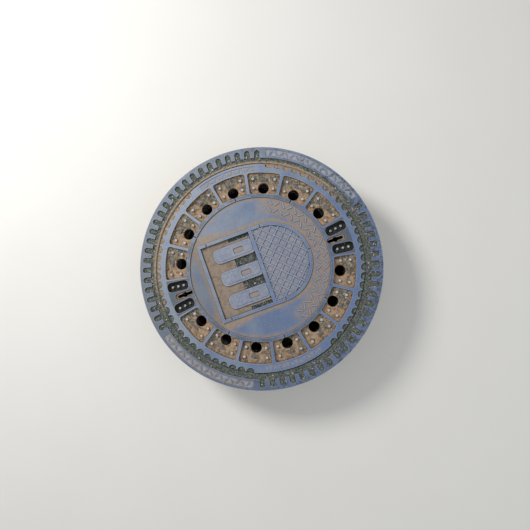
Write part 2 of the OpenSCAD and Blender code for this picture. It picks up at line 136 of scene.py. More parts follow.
class Shader:
    """A material's node tree, with a short call for each kind of node that the materials use.
    place is the point in millimetres from the part's origin, and every length here is in millimetres."""

    def __init__(self, name):
        self.material = bpy.data.materials.new(name)
        self.material.use_nodes = True
        self.tree = self.material.node_tree
        self.surface = self.tree.nodes["Principled BSDF"]
        scaled = self.node("ShaderNodeVectorMath", operation="SCALE")
        self.put(scaled.inputs[0], self.node("ShaderNodeTexCoord").outputs["Object"])
        scaled.inputs["Scale"].default_value = 1 / MM
        self.place = scaled.outputs[0]
        parts = self.node("ShaderNodeSeparateXYZ")
        self.put(parts.inputs[0], self.place)
        self.x, self.y, self.z = parts.outputs
        self.depth = self.math("SUBTRACT", ROAD_Z / MM, self.z)     # Below the road surface
        self.radius = self.length(self.x, self.y)

    def node(self, kind, **settings):
        made = self.tree.nodes.new(kind)
        for key, value in settings.items():
            setattr(made, key, value)
        return made

    def put(self, socket, value):
        """Links an output to a socket, or sets the socket's own value."""
        if isinstance(value, bpy.types.NodeSocket):
            self.tree.links.new(value, socket)
        else:
            socket.default_value = value

    def math(self, operation, a, b=0.0):
        made = self.node("ShaderNodeMath", operation=operation)
        self.put(made.inputs[0], a)
        self.put(made.inputs[1], b)
        return made.outputs[0]

    def add(self, a, b):
        return self.math("ADD", a, b)

    def times(self, a, b):
        return self.math("MULTIPLY", a, b)

    def either(self, a, b):
        return self.math("MAXIMUM", a, b)

    def length(self, a, b):
        return self.math("SQRT", self.add(self.times(a, a), self.times(b, b)))

    def span(self, value, low, high, to_low=0.0, to_high=1.0):
        """Value mapped smoothly from low..high to to_low..to_high, and held beyond them."""
        made = self.node("ShaderNodeMapRange", interpolation_type="SMOOTHSTEP")
        for i, v in enumerate((value, low, high, to_low, to_high)):
            self.put(made.inputs[i], v)
        return made.outputs[0]

    def above(self, value, edge, soft=0.3, full=1.0):
        return self.span(value, edge - soft, edge + soft, 0, full)

    def below(self, value, edge, soft=0.3, full=1.0):
        return self.span(value, edge - soft, edge + soft, full, 0)

    def between(self, value, low, high, soft=0.3):
        return self.times(self.above(value, low, soft), self.below(value, high, soft))

    def lean(self, azimuth):
        """From -1 at one side of the frame to 1 at the side that lies at the azimuth."""
        along = direction(azimuth, 0) * MM / FRAME_R
        return self.add(self.times(self.x, along.x), self.times(self.y, along.y))

    def noise(self, size, detail=3.0, rough=0.55, twist=0.0, place=None):
        """Soft random values about 0.5, with features of about a size."""
        made = self.node("ShaderNodeTexNoise")
        self.put(made.inputs["Vector"], place or self.place)
        self.put(made.inputs["Scale"], 1 / size)
        self.put(made.inputs["Detail"], detail)
        self.put(made.inputs["Roughness"], rough)
        self.put(made.inputs["Distortion"], twist)
        return made.outputs["Fac"]

    def streaks(self, azimuth, length, width):
        """Noise drawn out along a direction, as scratches are."""
        turned = self.node("ShaderNodeVectorRotate", rotation_type="Z_AXIS")
        self.put(turned.inputs["Vector"], self.place)
        self.put(turned.inputs["Angle"], -math.radians(azimuth))
        drawn = self.node("ShaderNodeVectorMath", operation="MULTIPLY")
        self.put(drawn.inputs[0], turned.outputs[0])
        drawn.inputs[1].default_value = (1 / length, 1 / width, 1 / width)
        return self.noise(1, 2, 0.5, place=drawn.outputs[0])

    def cells(self, size, feature="F1", output="Distance"):
        made = self.node("ShaderNodeTexVoronoi", feature=feature)
        self.put(made.inputs["Vector"], self.place)
        self.put(made.inputs["Scale"], 1 / size)
        return made.outputs[output]

    def cell_tone(self, size):
        """One random value for each cell."""
        parts = self.node("ShaderNodeSeparateXYZ")
        self.put(parts.inputs[0], self.cells(size, output="Color"))
        return parts.outputs[0]

    def blend(self, amount, a, b, mode="MIX"):
        made = self.node("ShaderNodeMix", data_type="RGBA", blend_type=mode)
        self.put(made.inputs[0], amount)
        self.put(made.inputs[6], a)
        self.put(made.inputs[7], b)
        return made.outputs[2]

    def hollow(self, distance):
        """Near 1 in the open and near 0 deep in a corner."""
        made = self.node("ShaderNodeAmbientOcclusion", samples=6)
        self.put(made.inputs["Distance"], distance * MM)
        return made.outputs["AO"]

    def ridge(self, distance):
        """Near 1 on flat faces and lower along outer edges."""
        made = self.node("ShaderNodeAmbientOcclusion", samples=6, inside=True)
        self.put(made.inputs["Distance"], distance * MM)
        return made.outputs["AO"]

    def bump(self, height, distance):
        made = self.node("ShaderNodeBump")
        self.put(made.inputs["Height"], height)
        self.put(made.inputs["Distance"], self.times(distance, MM))
        self.put(self.surface.inputs["Normal"], made.outputs[0])

    def set(self, **inputs):
        for name, value in inputs.items():
            self.put(self.surface.inputs[name.replace("_", " ")], value)


def floor_material():
    s = Shader("floor")
    s.set(Base_Color=s.blend(s.noise(330), srgb(226, 224, 219), srgb(232, 230, 226)), Roughness=0.9)
    return s.material


# ---------------------------------------------------------------- iron

IRON_BLUE = srgb(100, 121, 158)
IRON_GREY = srgb(136, 147, 163)
IRON_BRIGHT = srgb(168, 178, 196)
IRON_DARK = srgb(70, 80, 100)
CASTING = srgb(88, 76, 68)
PATINA = srgb(142, 131, 124)
CLAY = srgb(158, 136, 116)
CLAY_DARK = srgb(112, 98, 70)
CLAY_LIGHT = srgb(184, 160, 134)
CLAY_GREY = srgb(120, 122, 122)
RUST_DARK = srgb(92, 74, 58)
RUST = srgb(156, 134, 110)
RUST_ORANGE = srgb(190, 136, 82)
GRIME = srgb(58, 62, 60)
# Near-black soot, also used as painted shade in the deep oval pockets beside the lifting slots
SOOT_AND_SHADE = srgb(26, 27, 26)
# Near-black silt in the pan, dark partly as painted shade seen through the vent holes
SILT_AND_SHADE = srgb(26, 25, 23)
FILM = srgb(84, 88, 92)
DUST = srgb(178, 164, 146)
SHADE = srgb(44, 40, 36)
STUD = srgb(190, 187, 184)

# Outline of the shield on the cover and edges of the cover's bands, in millimetres as in the model
SHIELD_LEFT = -172
SHIELD_CENTRE = 42
SHIELD_HALF = 131
BORDER = 9.5
CROSS_BAR = 9
DISC_R = 228
POCKETS_R = (POCKET_IN_R / MM, POCKET_OUT_R / MM)
KEY_RECESS_HALF = 11.8          # Half width of the shallow recess round each lifting slot

# Depths in millimetres below the road, each just below one level of the castings and above the next
TOPS_TO = 1.1
TREADS_TO = 2.6
STUDS_TO = 3.6
LATTICE_TO = 3.8
BARS_TO = 4.1
DISC_TO = 4.2
BAR_PANELS_TO = 5.9
FIELD_TO = 8.8
PLATE_TO = 21
SIDE_STUD_TOPS = (6.2, 7.6)     # Between these depths lie the tops of the studs beside the lifting slots


def worn_iron(s):
    """Iron polished by traffic: slate blue on one side of the part and greyer on the other."""
    side = s.add(s.times(s.lean(140), 0.34), s.noise(70, 3, 0.55))
    colour = s.blend(s.span(side, 0.28, 0.80), IRON_BLUE, IRON_GREY)
    colour = s.blend(s.span(s.noise(11, 5, 0.65, 0.4), 0.5, 0.72, 0, 0.45), colour, PATINA)
    colour = s.blend(s.span(s.noise(5, 4, 0.7), 0.56, 0.76, 0, 0.6), colour, IRON_BRIGHT)
    return s.blend(s.span(s.noise(2.6, 3, 0.6), 0.6, 0.7, 0, 0.6), colour, IRON_DARK)


def rust(s):
    """Brown rust with orange blooms and dark spots."""
    colour = s.blend(s.span(s.noise(17, 4, 0.6, 0.4), 0.36, 0.62), RUST_DARK, RUST)
    colour = s.blend(s.span(s.noise(9, 4, 0.65), 0.50, 0.66, 0, 0.85), colour, RUST_ORANGE)
    return s.blend(s.span(s.noise(2.4, 3, 0.6), 0.58, 0.68, 0, 0.6), colour, RUST_DARK)


def patina(s):
    """Brown film on iron that feet and tyres don't reach."""
    colour = s.blend(s.span(s.noise(13, 4, 0.6), 0.4, 0.62), PATINA, CLAY)
    return s.blend(s.span(s.noise(4, 4, 0.65), 0.55, 0.7, 0, 0.5), colour, RUST)


def shield_distance(s):
    """Distance outside the shield's outline, and below 0 inside it."""
    past_centre = s.either(s.math("SUBTRACT", s.x, SHIELD_CENTRE), 0)
    beside = s.math("SUBTRACT", s.length(past_centre, s.y), SHIELD_HALF)
    return s.either(beside, s.math("SUBTRACT", SHIELD_LEFT, s.x))


def at_key(s):
    """1 in the two stations with the lifting slots, and 0 in the vent pockets."""
    tan = math.tan(math.radians(STATION / 2))
    across = s.math("SUBTRACT", s.math("ABSOLUTE", s.y), s.times(s.math("ABSOLUTE", s.x), tan))
    return s.times(s.below(across, 0), s.between(s.radius, POCKETS_R[0], POCKETS_R[1]))


def disc_colour(s, iron, brown, mottle):
    """The disc round the shield: bare in the middle, brown at its rim, by the shield and at the treads."""
    corner = s.math("MINIMUM", s.math("ABSOLUTE", s.y), s.times(s.x, -1))
    reach = s.span(corner, 60, 125, 10, 24)
    near_shield = s.below(s.math("SUBTRACT", s.add(shield_distance(s), s.times(mottle, 34)), reach), 2, 9)
    near_rim = s.above(s.add(s.radius, s.times(mottle, 30)), DISC_R - 9, 9, 0.8)
    left_end = s.below(s.add(s.x, s.times(mottle, 40)), SHIELD_LEFT, 12)
    by_treads = s.times(s.above(s.add(s.x, s.times(mottle, 60)), 70, 40, 0.85), s.above(s.radius, 176, 8))
    browned = s.either(s.either(near_shield, near_rim), by_treads)
    colour = s.blend(browned, s.blend(0.16, iron, FILM), brown)
    colour = s.blend(s.times(left_end, 0.3), colour, FILM)
    treads = s.times(s.below(s.depth, TREADS_TO, 0.4), s.span(s.noise(9, 4, 0.7), 0.36, 0.6, 0.4, 0.95))
    return s.blend(treads, colour, s.blend(0.35, iron, IRON_BRIGHT))


def shield_colour(s, iron, brown, rusty):
    """Inside the shield: clay-coloured field and panels, worn bars and lattice, grime in the deep gaps."""
    lattice_side = s.above(s.x, CROSS_BAR, 1)
    field = s.blend(s.span(s.noise(24, 4, 0.6), 0.42, 0.62, 0.25, 0.75), rusty, CLAY)
    field = s.blend(0.35, field, CLAY_GREY)
    field = s.blend(lattice_side, field, s.blend(0.6, brown, s.blend(0.3, iron, IRON_BRIGHT)))
    bars = s.blend(s.span(s.noise(8, 4, 0.6), 0.45, 0.7, 0.1, 0.6), iron, IRON_BRIGHT)
    bars = s.blend(0.25, bars, PATINA)
    bar_panels = s.blend(0.35, CLAY, iron)
    colour = s.blend(s.below(s.depth, BARS_TO, 0.25), bar_panels, bars)
    colour = s.blend(s.above(s.depth, BAR_PANELS_TO), colour, field)
    colour = s.blend(s.times(lattice_side, s.above(s.depth, LATTICE_TO)), colour, field)
    return s.blend(s.above(s.depth, FIELD_TO, 1.2, 0.9), colour, GRIME)


def pocket_colour(s, rusty):
    """Vent pockets and the lifting stations: rust, with worn stud tops, and soot with painted shade in the
    deepest pockets.
    """
    studs = s.times(s.below(s.depth, STUDS_TO, 0.4), s.span(s.noise(12, 4, 0.6), 0.36, 0.6, 0.45, 1))
    dusty = s.blend(s.span(s.noise(6, 4, 0.7), 0.46, 0.66, 0.1, 0.75), rusty, DUST)
    colour = s.blend(studs, dusty, STUD)
    colour = s.blend(s.between(s.depth, STUDS_TO, STUDS_TO + 1, 0.4), colour, RUST_DARK)
    colour = s.blend(s.between(s.depth, 5.5, 8.6, 0.8), colour, s.blend(0.45, dusty, RUST_ORANGE))
    across = s.math("ABSOLUTE", s.y)
    recess = s.times(at_key(s), s.below(across, KEY_RECESS_HALF))
    beside_key = s.times(at_key(s), s.above(across, KEY_RECESS_HALF))
    colour = s.blend(recess, colour, s.blend(0.35, rusty, CLAY_DARK))
    # Deep oval pockets beside the slots near black: soot, and painted shade of their depth
    soot_and_shade_on_iron = s.blend(s.span(s.noise(5, 3), 0.45, 0.65, 0, 0.3), SOOT_AND_SHADE, GRIME)
    colour = s.blend(s.times(beside_key, s.above(s.depth, 3, 2)), colour, soot_and_shade_on_iron)
    patchy = s.span(s.noise(14, 3), 0.4, 0.6, 0.25, 0.8)
    worn_studs = s.times(s.between(s.depth, *SIDE_STUD_TOPS, 0.4), patchy)
    return s.blend(s.times(beside_key, worn_studs), colour, STUD)


def iron_grain(s, worn):
    """Bump and gloss: sandy casting skin in the low places, fine pits and scratches on the worn tops."""
    sandy = s.add(s.noise(2.2, 4, 0.65), s.times(s.noise(7, 4, 0.6), 1.4))
    scratches = s.add(s.streaks(25, 30, 0.7), s.streaks(104, 24, 0.6))
    smooth = s.add(s.times(s.noise(3.0, 4, 0.6), 1.2), s.times(scratches, 0.25))
    s.bump(s.add(s.times(smooth, s.times(worn, 0.35)), s.times(sandy, s.span(worn, 0, 1, 0.9, 0.1))), 1.0)
    gloss = s.add(s.times(scratches, 0.12), s.span(s.noise(9, 4, 0.6), 0.35, 0.7, 0.36, 0.52))
    s.set(Metallic=s.times(worn, 0.3), Roughness=s.either(s.span(worn, 0.2, 0.9, 0.86, 0), gloss))


def shaded(s, colour):
    """Painted shade: darkens the corners broadly by the walls, and as a thin dark line at their feet."""
    colour = s.blend(s.span(s.hollow(7), 0.3, 0.9, 0.75, 0), colour, SHADE, "MULTIPLY")
    return s.blend(s.span(s.hollow(2.4), 0.45, 0.85, 0.65, 0), colour, SHADE, "MULTIPLY")


def bright_edges(s, colour, amount):
    """Bare metal along the outer edges near the road."""
    edges = s.times(s.span(s.ridge(2.2), 0.55, 0.95, amount, 0), s.below(s.depth, 8))
    return s.blend(edges, colour, IRON_BRIGHT)


def cover_iron():
    """The cover: bare tops, patina on the disc, rust in the vent pockets and grime in the deep places."""
    s = Shader("cover_iron")
    mottle = s.math("SUBTRACT", s.noise(18, 4, 0.65), 0.5)
    iron, rusty, brown = worn_iron(s), rust(s), patina(s)
    in_disc = s.below(s.radius, DISC_R + 0.4)
    in_pockets = s.between(s.radius, *POCKETS_R)
    in_shield = s.below(shield_distance(s), -BORDER / 2, BORDER / 2 - 0.2)

    colour = s.blend(s.span(mottle, -0.16, 0.18), CASTING, s.blend(0.4, rusty, GRIME))
    pads = s.times(s.below(s.depth, TREADS_TO), s.above(s.radius, POCKETS_R[1]))
    pad_colour = s.blend(s.span(mottle, -0.15, 0.15, 0.2, 0.7), s.blend(0.5, iron, IRON_BRIGHT), brown)
    colour = s.blend(pads, colour, pad_colour)
    colour = s.blend(in_pockets, colour, pocket_colour(s, rusty))
    colour = s.blend(in_disc, colour, disc_colour(s, iron, brown, mottle))
    colour = s.blend(in_shield, colour, shield_colour(s, iron, brown, rusty))
    underside = s.blend(s.span(s.noise(30, 4, 0.6), 0.4, 0.65), CASTING, RUST_DARK)
    colour = s.blend(s.above(s.depth, PLATE_TO, 2), colour, underside)

    tops = s.below(s.add(s.depth, s.times(mottle, 2.2)), TOPS_TO, 0.8)
    disc_wear = s.times(s.times(in_disc, s.below(s.depth, DISC_TO)), 0.7)
    patchy = s.span(s.noise(22, 4, 0.65), 0.4, 0.62, 0.2, 0.7)
    inner_ring = s.times(s.between(s.radius, DISC_R, POCKETS_R[0] + 2), patchy)
    filmy = s.either(inner_ring, s.times(at_key(s), 0.8))
    colour = s.blend(tops, colour, s.blend(filmy, iron, FILM))
    s.set(Base_Color=shaded(s, bright_edges(s, colour, 0.6)))
    iron_grain(s, s.either(tops, disc_wear))
    return s.material


def frame_iron():
    """The head ring: bare teeth and rim, browner panels, grime in the notches, rust on its skirt."""
    s = Shader("frame_iron")
    mottle = s.math("SUBTRACT", s.noise(18, 4, 0.65), 0.5)
    rusty, brown = rust(s), patina(s)
    film = s.add(s.noise(40, 4, 0.6), s.times(s.lean(-10), -0.2))
    iron = s.blend(s.span(film, 0.3, 0.65, 0.1, 0.5), worn_iron(s), FILM)
    low = s.blend(s.span(s.noise(16, 3, 0.6), 0.4, 0.62, 0.3, 0.95), rusty, GRIME)
    worn = s.add(s.noise(13, 4, 0.65), s.times(s.lean(PANEL_ANGLE), 0.06))
    panel = s.blend(s.span(worn, 0.36, 0.62, 0.2, 0.8), brown, s.blend(0.5, IRON_GREY, IRON_BRIGHT))
    colour = s.blend(s.below(s.depth, 2.8, 0.5), low, panel)
    outside = s.times(s.above(s.radius, FRAME_R / MM - 1.2, 0.4), s.above(s.depth, 2.5, 1.5))
    outer_face = s.blend(s.span(s.noise(22, 4, 0.6), 0.34, 0.7), CASTING, rusty)
    colour = s.blend(outside, colour, outer_face)
    lower_part = s.blend(s.span(mottle, -0.1, 0.1), CASTING, RUST_DARK)
    colour = s.blend(s.above(s.depth, 12, 4), colour, lower_part)

    on_ring = s.above(s.radius, FRAME_R / MM - 40)
    tops = s.times(s.below(s.add(s.depth, s.times(mottle, 1.8)), TOPS_TO, 0.6), on_ring)
    colour = bright_edges(s, s.blend(tops, colour, iron), 0.5)
    muddy = s.add(s.add(s.times(s.lean(-28), 0.12), s.noise(12, 5, 0.75)), s.times(s.noise(2.6, 3), 0.5))
    colour = s.blend(s.times(s.span(muddy, 0.82, 0.94, 0, 0.75), s.below(s.depth, 3)), colour, GRIME)
    s.set(Base_Color=shaded(s, colour))
    iron_grain(s, tops)
    return s.material


# ---------------------------------------------------------------- other materials

def concrete():
    """Cast concrete with sand, small stones and pores, and rust run down from the iron."""
    s = Shader("concrete")
    paste = s.blend(s.span(s.noise(110, 4, 0.6), 0.3, 0.7), srgb(158, 154, 144), srgb(182, 178, 168))
    paste = s.blend(s.span(s.noise(3, 4, 0.7), 0.4, 0.7, 0, 0.4), paste, srgb(128, 122, 112))
    paste = s.blend(s.span(s.cell_tone(8), 0.75, 0.95, 0, 0.5), paste, srgb(118, 113, 107))
    run = s.times(s.streaks(0, 16, 16), s.span(s.depth, 34, 90, 0.75, 0))
    paste = s.blend(s.span(run, 0.26, 0.45, 0, 0.7), paste, RUST)
    damp = s.span(s.add(s.z, s.times(s.noise(40, 3), 30)), 14, 40, 0.45, 0)
    paste = s.blend(damp, paste, srgb(112, 106, 94))
    pores = s.span(s.cells(13), 0.05, 0.11, 1, 0)
    s.set(Base_Color=s.blend(pores, paste, srgb(96, 91, 82)), Roughness=0.92)
    s.bump(s.math("SUBTRACT", s.noise(3.4, 5, 0.65), pores), 1.2)
    return s.material


def dirt_tint(s, colour):
    """Rusts the dirt in the vent pockets, turns it to clay on one side of the joint, and darkens it in the
    deepest places, to near black beside the lifting slots and in the pan, partly as painted shade."""
    clay_side = s.above(s.add(s.lean(100), s.times(s.noise(14, 4, 0.65), 1.4)), 0.92, 0.25, 0.85)
    rim_r = COVER_R / MM
    near_joint = s.between(s.add(s.radius, s.times(s.noise(9, 3), 12)), rim_r - 9, rim_r + 17, 4)
    clay = s.blend(s.span(s.noise(6, 3), 0.4, 0.65), CLAY, CLAY_LIGHT)
    colour = s.blend(s.times(clay_side, near_joint), colour, clay)
    in_pockets = s.between(s.radius, POCKETS_R[0] - 4, POCKETS_R[1] + 2)
    rusty = s.times(in_pockets, s.span(s.noise(14, 4), 0.42, 0.62, 0.15, 0.85))
    colour = s.blend(rusty, colour, RUST)
    outer_edge = s.times(s.above(s.radius, POCKETS_R[1] - 5, 3), s.span(s.noise(12, 3), 0.4, 0.55, 0, 0.8))
    colour = s.blend(s.times(in_pockets, outer_edge), colour, RUST_ORANGE)
    light_specks = s.span(s.noise(7, 3, 0.7), 0.54, 0.64, 0, 0.75)
    colour = s.blend(s.times(in_pockets, light_specks), colour, DUST)
    dark_specks = s.span(s.noise(5.5, 3, 0.7, 0.4), 0.53, 0.62, 0, 0.7)
    colour = s.blend(s.times(in_pockets, dark_specks), colour, SOOT_AND_SHADE)
    # Grit at the lifting stations near black: soot, and painted shade in the deep oval pockets
    soot_and_shade_by_slots = s.blend(s.span(s.noise(5, 3), 0.4, 0.6, 0, 0.3), SOOT_AND_SHADE, GRIME)
    colour = s.blend(s.times(at_key(s), 0.95), colour, soot_and_shade_by_slots)
    in_shield = s.below(s.radius, POCKETS_R[0] - 8, 2)
    deep_grime = s.blend(s.span(s.noise(4, 3), 0.42, 0.6), SOOT_AND_SHADE, GRIME)
    patches = s.span(s.noise(16, 3), 0.38, 0.6, 0, 0.9)
    colour = s.blend(s.times(in_shield, patches), colour, deep_grime)
    # Near-black silt in the pan: dirt, and painted shade of the dark pan seen through the vent holes
    return s.blend(s.above(s.depth, 60, 10), colour, SILT_AND_SHADE)


def road_grit():
    """Packed grime: fine grains of several greys with a touch of moss."""
    s = Shader("road_grit")
    colour = s.blend(s.span(s.cell_tone(2.6), 0.1, 0.9), srgb(56, 62, 58), srgb(112, 118, 112))
    colour = s.blend(s.span(s.noise(26, 4, 0.6), 0.52, 0.68, 0, 0.6), colour, srgb(84, 94, 70))
    s.set(Base_Color=dirt_tint(s, colour), Roughness=0.93)
    s.bump(s.add(s.noise(1.6, 4, 0.6), s.cells(2.6)), 1.0)
    return s.material


def road_stones():
    """Loose chippings. The tone attribute gives each one its own colour."""
    s = Shader("road_stones")
    tone = s.node("ShaderNodeAttribute", attribute_name="tone").outputs["Fac"]
    ramp = s.node("ShaderNodeValToRGB")
    ramp.color_ramp.interpolation = "CONSTANT"
    stops = ((0.0, srgb(70, 76, 76)), (0.3, srgb(112, 116, 114)), (0.55, srgb(142, 126, 108)),
             (0.7, srgb(150, 152, 152)), (0.83, srgb(172, 148, 132)), (0.9, srgb(216, 216, 210)))
    for place, _ in stops[2:]:
        ramp.color_ramp.elements.new(place)
    for element, (place, colour) in zip(ramp.color_ramp.elements, stops):
        element.position = place
        element.color = colour
    s.put(ramp.inputs[0], tone)
    colour = s.blend(s.span(s.noise(1.2, 3, 0.6), 0.4, 0.65, 0, 0.35), ramp.outputs[0], srgb(60, 62, 60))
    # Stones at the lifting stations darkened: soot, and painted shade in the deep oval pockets
    colour = s.blend(s.times(at_key(s), 0.6), colour, SOOT_AND_SHADE)
    s.set(Base_Color=colour, Roughness=s.span(tone, 0, 1, 0.85, 0.6))
    s.bump(s.noise(0.9, 3), 0.3)
    return s.material


def mill_steel():
    """Rolled bar with its brown mill scale."""
    s = Shader("mill_steel")
    colour = s.blend(s.span(s.noise(8, 4), 0.4, 0.6), srgb(88, 70, 60), srgb(134, 96, 70))
    s.set(Base_Color=colour, Metallic=0.4, Roughness=s.span(s.noise(5), 0.3, 0.7, 0.55, 0.8))
    s.bump(s.noise(2, 3), 0.4)
    return s.material


def elastomer():
    """Black rubber, greyed by dust."""
    s = Shader("elastomer")
    dust = s.span(s.noise(20, 4, 0.65), 0.45, 0.7, 0, 0.5)
    s.set(Base_Color=s.blend(dust, srgb(32, 33, 34), srgb(92, 88, 80)),
          Roughness=s.span(dust, 0, 0.5, 0.55, 0.85))
    s.bump(s.noise(1.4, 3), 0.25)
    return s.material


def galvanised(name, tint):
    """Hot-dip zinc: spangles of slightly different grey and gloss, with white bloom, rust and dirt runs."""
    s = Shader(name)
    spangle = s.cell_tone(9)
    colour = s.blend(spangle, srgb(*(0.84 * c for c in tint)), srgb(*tint))
    colour = s.blend(s.span(s.noise(55, 4, 0.6), 0.5, 0.72, 0, 0.6), colour, srgb(196, 197, 194))
    rusty = s.span(s.noise(22, 5, 0.7), 0.57, 0.68, 0, 0.85)
    dirty = s.span(s.add(s.noise(30, 4, 0.65), s.span(s.z, 8, 40, 0.12, 0)), 0.5, 0.7, 0, 0.65)
    colour = s.blend(dirty, s.blend(rusty, colour, RUST), srgb(108, 100, 88))
    inside = s.times(s.below(s.radius, PAN_R / MM - 1), s.below(s.depth, (ROAD_Z - PAN_FLOOR_Z) / MM + 1))
    silty = s.add(s.noise(36, 4, 0.65), s.span(s.z, 10, 66, 0.25, 0))
    # The inside of the pan near black, more towards the bottom: silt, and painted shade of the closed pan
    silted_and_shaded = s.times(inside, s.span(silty, 0.3, 0.6, 0.35, 0.95))
    colour = s.blend(silted_and_shaded, colour, SILT_AND_SHADE)
    dull = s.either(s.either(rusty, dirty), silted_and_shaded)
    s.set(Base_Color=colour, Metallic=s.span(dull, 0, 0.8, 0.8, 0.1),
          Roughness=s.either(s.span(spangle, 0, 1, 0.34, 0.52), s.span(dull, 0, 0.6, 0, 0.85)))
    s.bump(s.add(s.noise(4, 3), s.times(dull, s.noise(1.5, 3))), 0.25)
    return s.material


# ---------------------------------------------------------------- packed grit and loose stones

LIP_R = FRAME_R - 48.5 * MM     # Outer edge of the frame's lip
TOOTH_END_R = FRAME_R - 35 * MM
NOTCH_END_R = FRAME_R - 9.2 * MM
NOTCH_HALF = 9.25 * MM
NOTCH_ROUND_R = NOTCH_END_R - NOTCH_HALF
SCALLOP_R = 13 * MM
SCALLOP_CIRCLE_R = COVER_R - 1 * MM
RIM_R = COVER_R - 2 * MM
VENT_CIRCLE_R = 258 * MM
VENT_CLEAR_R = 19 * MM          # No dirt lies this near to the middle of a vent hole
RIB_HALF = 4.25 * MM
POCKET_MIDDLE_R = 273.5 * MM
POCKET_FLOOR_Z = ROAD_Z - 9 * MM
SIDE_POCKET_ANGLE = 7.0         # From a lifting slot to the deep oval pocket beside it
SIDE_POCKET_HALF_L = 35 * MM
SIDE_POCKET_HALF_W = 16 * MM
SIDE_POCKET_CORNER = 13.5 * MM
GAP_X = -33 * MM                # Middle of the deep strips beside the shield's bars
GAP_HALF_L = 36 * MM
GAPS_ACROSS = ((38.5 * MM, 13.5 * MM), (116 * MM, 7 * MM))      # Middle and half width, on each side
WASHED_TO = 70.0                # Direction in which rain has washed the dirt within each pocket
OVERLAP = 0.8 * MM              # How far a layer of dirt runs into the iron beside it
STONE_POINTS = 11
STONE_SHAPES = 9
STONE_INSET = 1.2 * MM          # Least distance from a stone's middle to the edge of the dirt's place


def turned(x, y, middle):
    """Point (x, y) as seen from the direction at an angle: along it and across it."""
    a = math.radians(middle)
    return x * math.cos(a) + y * math.sin(a), y * math.cos(a) - x * math.sin(a)


def near_axis(angle, axis, half):
    """True within half degrees of an axis, on either side of the centre."""
    return min(abs((angle - a + 540) % 360 - 180) for a in (axis, axis + 180)) < half


def azimuth_of(x, y):
    return math.degrees(math.atan2(y, x))


def in_notch(x, y, margin):
    """True inside a notch of the frame, or within a margin of it."""
    middle = PANEL_ANGLE + PITCH * round((azimuth_of(x, y) - PANEL_ANGLE) / PITCH)
    if near_axis(middle, PANEL_ANGLE, PANEL_HALF):
        return False
    along, across = turned(x, y, middle)
    beyond = along - NOTCH_ROUND_R
    half = NOTCH_HALF + margin
    return abs(across) < half and (beyond < 0 or math.hypot(beyond, across) < half)


def in_frame_grit(x, y, margin=OVERLAP):
    """True in a notch of the frame or on the low ring inside the teeth, or within a margin of them."""
    return math.hypot(x, y) < TOOTH_END_R + margin or in_notch(x, y, margin)


def in_scallop(x, y, margin=OVERLAP):
    """True in a scallop of the cover's rim or on the low step outside it, or within a margin of them."""
    azimuth = azimuth_of(x, y)
    if near_axis(azimuth, PAD_ANGLE, PAD_HALF):
        return False
    along, across = turned(x, y, PITCH * round(azimuth / PITCH))
    in_circle = math.hypot(along - SCALLOP_CIRCLE_R, across) < SCALLOP_R + margin
    return in_circle or math.hypot(x, y) > RIM_R - margin


def in_pocket(x, y, margin=OVERLAP):
    """True on the floor of a vent pocket, clear of its vent hole."""
    station = round(azimuth_of(x, y) / STATION)
    if station % (STATIONS // 2) == 0:
        return False
    along, across = turned(x, y, STATION * station)
    rib = math.radians(STATION / 2)
    inside_ribs = along * math.sin(rib) - abs(across) * math.cos(rib) > RIB_HALF - margin
    return inside_ribs and math.hypot(along - VENT_CIRCLE_R, across) > VENT_CLEAR_R


def in_side_pocket(x, y, margin=OVERLAP):
    """True on the floor of one of the deep oval pockets beside the lifting slots."""
    for middle in (-SIDE_POCKET_ANGLE, SIDE_POCKET_ANGLE, 180 - SIDE_POCKET_ANGLE, 180 + SIDE_POCKET_ANGLE):
        along, across = turned(x, y, middle)
        over_l = max(abs(along - POCKET_MIDDLE_R) - SIDE_POCKET_HALF_L + SIDE_POCKET_CORNER, 0)
        over_w = max(abs(across) - SIDE_POCKET_HALF_W + SIDE_POCKET_CORNER, 0)
        if math.hypot(over_l, over_w) < SIDE_POCKET_CORNER + margin:
            return True
    return False


def in_shield_gap(x, y, margin=OVERLAP):
    """True on the floor of one of the deep strips beside the shield's bars."""
    if abs(x - GAP_X) > GAP_HALF_L + margin:
        return False
    return any(abs(abs(y) - middle) < half + margin for middle, half in GAPS_ACROSS)


def roughness(x, y, size, seed):
    """Smooth random height, about -1 to 1, with features of a given size."""
    return noise.noise((x / size, y / size, seed)) * 1.6


def polar_sheet(name, r_in, r_out, keep, height, bottom, cell):
    """A closed bumpy layer from height(x, y) down to bottom, on a flat ring where keep(x, y) holds."""
    rings = round((r_out - r_in) / cell)
    spokes = round(math.tau * (r_in + r_out) / 2 / cell)
    radii = [r_in + (r_out - r_in) * i / rings for i in range(rings + 1)]
    angles = [math.tau * k / spokes for k in range(spokes)]
    bm = bmesh.new()
    made = {}

    def corner(i, k):
        k %= spokes
        if (i, k) not in made:
            x, y = radii[i] * math.cos(angles[k]), radii[i] * math.sin(angles[k])
            made[i, k] = bm.verts.new((x, y, max(height(x, y), bottom + 0.2 * MM)))
        return made[i, k]

    for i in range(rings):
        middle_r = (radii[i] + radii[i + 1]) / 2
        for k in range(spokes):
            a = angles[k] + math.pi / spokes
            if keep(middle_r * math.cos(a), middle_r * math.sin(a)):
                bm.faces.new((corner(i, k), corner(i + 1, k), corner(i + 1, k + 1), corner(i, k + 1)))
    grown = bmesh.ops.extrude_face_region(bm, geom=bm.faces[:])
    for v in (v for v in grown["geom"] if isinstance(v, bmesh.types.BMVert)):
        v.co.z = bottom
    bmesh.ops.recalc_face_normals(bm, faces=bm.faces[:])
    mesh = bpy.data.meshes.new(name)
    bm.to_mesh(mesh)
    bm.free()
    for face in mesh.polygons:
        face.use_smooth = True
    piece = bpy.data.objects.new(name, mesh)
    bpy.context.scene.collection.objects.link(piece)
    return piece


